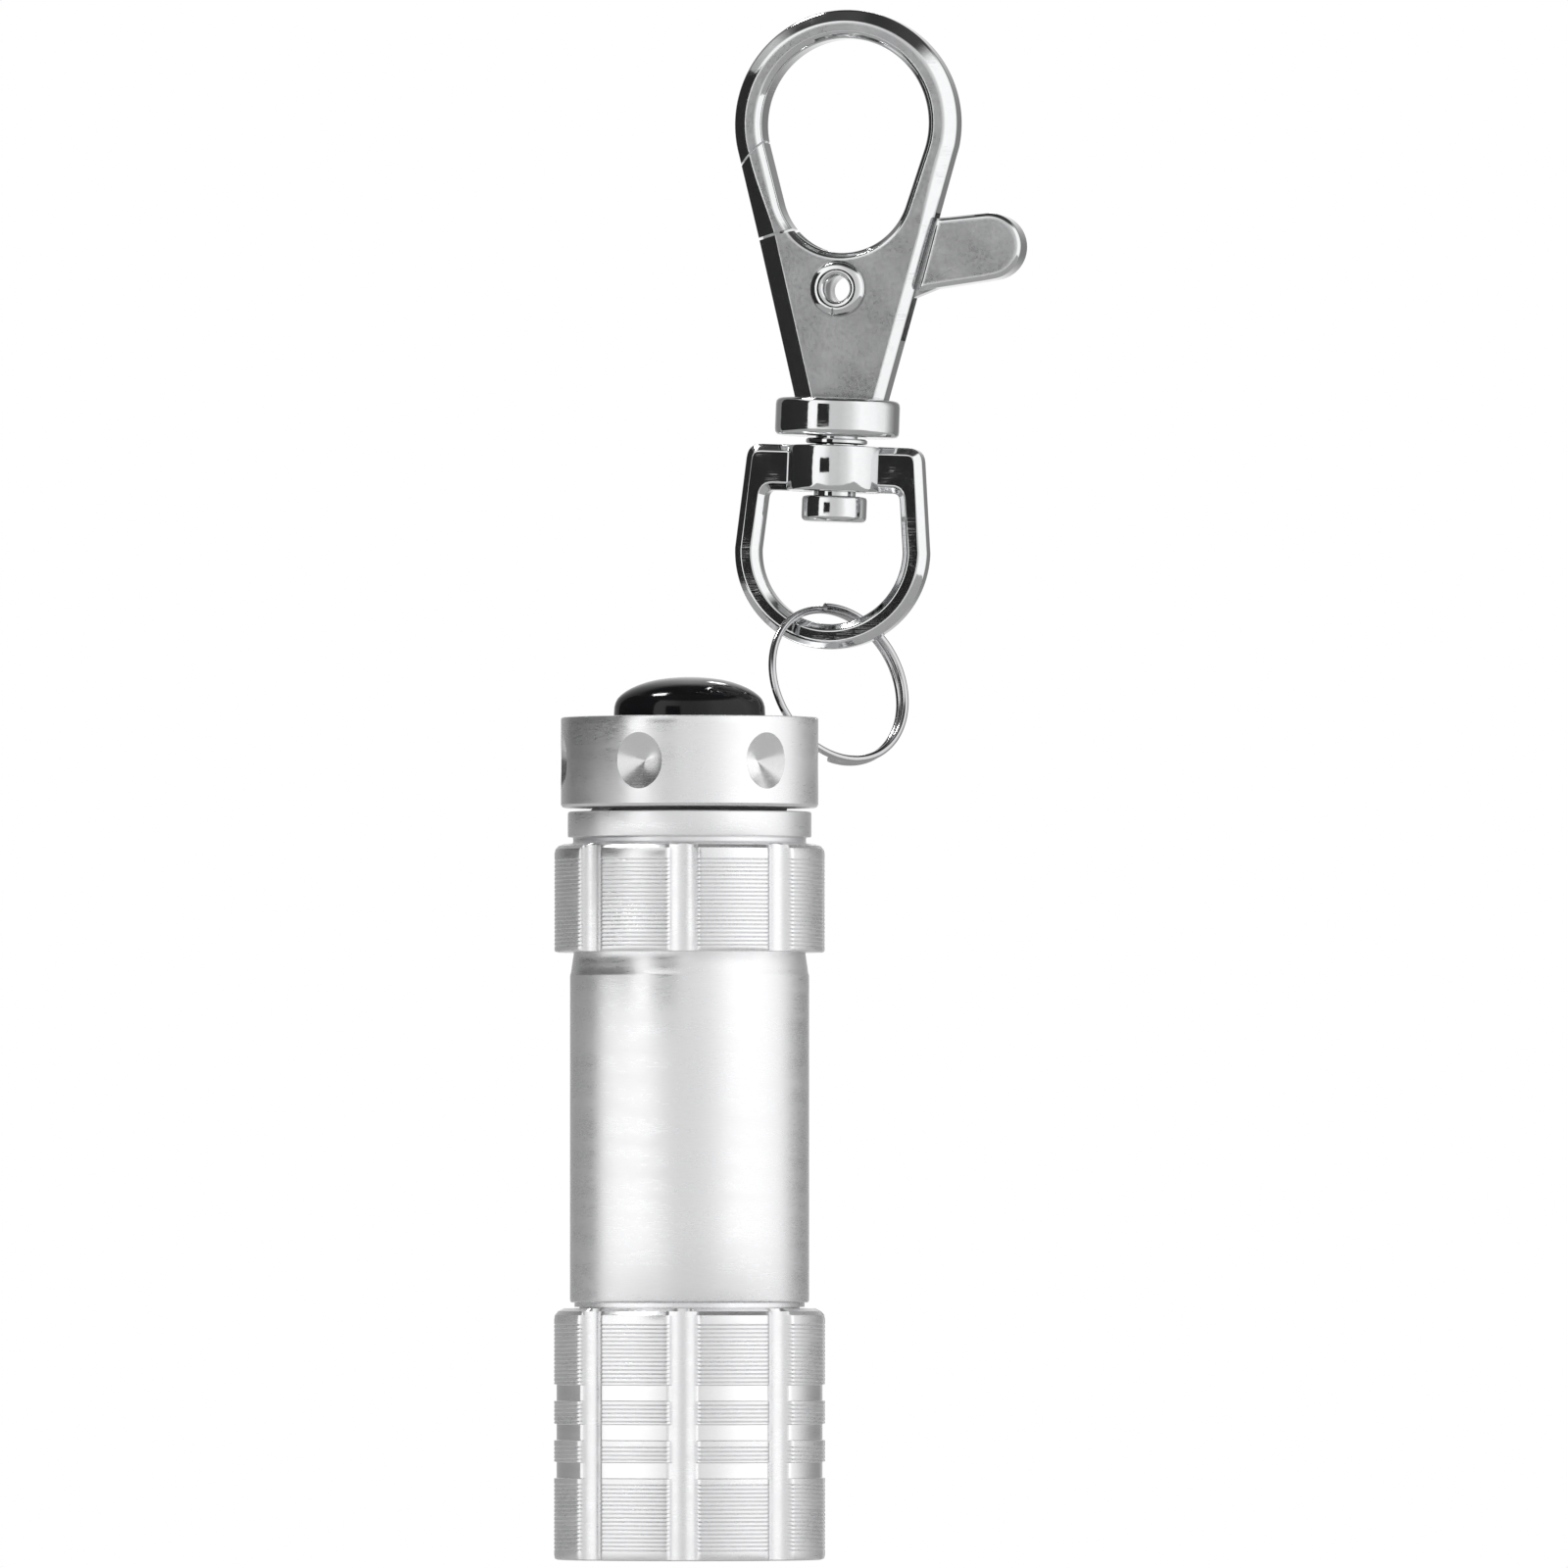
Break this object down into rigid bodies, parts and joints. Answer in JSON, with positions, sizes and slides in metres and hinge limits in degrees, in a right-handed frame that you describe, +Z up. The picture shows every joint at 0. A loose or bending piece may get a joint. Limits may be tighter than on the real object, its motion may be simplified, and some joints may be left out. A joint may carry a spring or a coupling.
{
  "type": "keychain flashlight",
  "caption": "Small aluminium keychain flashlight with a push button on its tail cap, hanging from a split ring, a swivel bow and a trigger clasp.",
  "frame": {"origin": "top of the inside of the clasp's eye, where the clasp hangs on its owner's ring or loop", "axes": "+Z up along the hanging assembly, +X towards the clasp's thumb tab, +Y away from the side seen with the gate on the left"},
  "size_m": [0.0338, 0.0193, 0.1107],
  "materials": {
    "clasp_chrome": "bright chrome plate on cast zinc, flat faces slightly hazy",
    "ring_steel": "bright nickel-plated spring wire",
    "spring_steel": "drawn spring wire",
    "body_aluminium": "satin turned aluminium, light silver, with fine turning lines",
    "button_black": "gloss black moulding",
    "white_plastic": "natural moulding",
    "grey_plastic": "dark grey moulding",
    "brass": "turned and stamped brass",
    "seal_rubber": "black nitrile",
    "lens_clear": "clear acrylic disc",
    "mirror_plastic": "vacuum-metallised moulding",
    "board_green": "solder-masked fibreglass",
    "led_clear": "water-clear epoxy",
    "cell_steel": "nickel-plated cell can"
  },
  "bodies": {
    "clasp": {"hook_frame": "clasp_chrome", "lever_eyelet": "clasp_chrome", "lever_spring": "spring_steel", "swivel_rivet": "clasp_chrome"},
    "lever": {"trigger_lever": "clasp_chrome"},
    "bow": {"swivel_bow": "clasp_chrome"},
    "ring": {"split_ring": "ring_steel"},
    "cap": {"tail_cap": "body_aluminium", "switch_housing": "grey_plastic", "return_spring": "spring_steel", "switch_contact": "brass", "switch_retaining_ring": "brass", "battery_spring": "spring_steel"},
    "button": {"push_button": "button_black", "switch_plunger": "white_plastic"},
    "seal": {"cap_o_ring": "seal_rubber"},
    "barrel": {"barrel": "body_aluminium", "head": "body_aluminium", "lens": "lens_clear", "lens_gasket": "seal_rubber", "reflector": "mirror_plastic", "led_1": "led_clear", "led_2": "led_clear", "led_3": "led_clear", "led_board": "board_green", "contact_carrier": "white_plastic", "front_contact_spring": "spring_steel", "battery_sleeve": "grey_plastic", "cell_1": "cell_steel", "cell_2": "cell_steel", "cell_3": "cell_steel", "cell_4": "cell_steel"}
  },
  "joints": [
    {"name": "trigger", "type": "hinge", "parent": "clasp", "child": "lever", "pos_m": [-0.00066, 0, -0.01794], "axis": [0.2248, 0.9744, -0.0082], "range_deg": [0, 25], "stiffness_Nm_per_rad": 0.03, "springref_deg": -20.05, "deforming": ["lever_spring"]},
    {"name": "swivel", "type": "hinge", "parent": "clasp", "child": "bow", "pos_m": [0, 0, 0], "axis": [0.0366, 0, 0.9993], "continuous": true},
    {"name": "ring_swing", "type": "hinge", "parent": "bow", "child": "ring", "pos_m": [-0.00157, 0, -0.04277], "axis": [0.9737, -0.225, -0.0357], "range_deg": [-75, 75]},
    {"name": "torch_swing", "type": "hinge", "parent": "ring", "child": "cap", "pos_m": [-0.001, -0.00115, -0.0462], "axis": [-0.5814, 0.7489, -0.3182], "range_deg": [-45, 45]},
    {"name": "button_press", "type": "slide", "parent": "cap", "child": "button", "axis": [0, 0, -1], "range_m": [0, 0.0012], "stiffness_N_per_m": 1500, "springref_m": -0.0003, "deforming": ["return_spring"]},
    {"name": "barrel_travel", "type": "slide", "parent": "cap", "child": "seal", "axis": [0, 0, -1], "range_m": [0, 0.0045]},
    {"name": "barrel_turn", "type": "hinge", "parent": "seal", "child": "barrel", "pos_m": [-0.01155, -0.00515, -0.055], "axis": [0, 0, -1], "range_deg": [0, 2161]}
  ],
  "couplings": [
    {"joint": "barrel_turn", "follows": "barrel_travel", "rad_per_m": 8377.6}
  ]
}
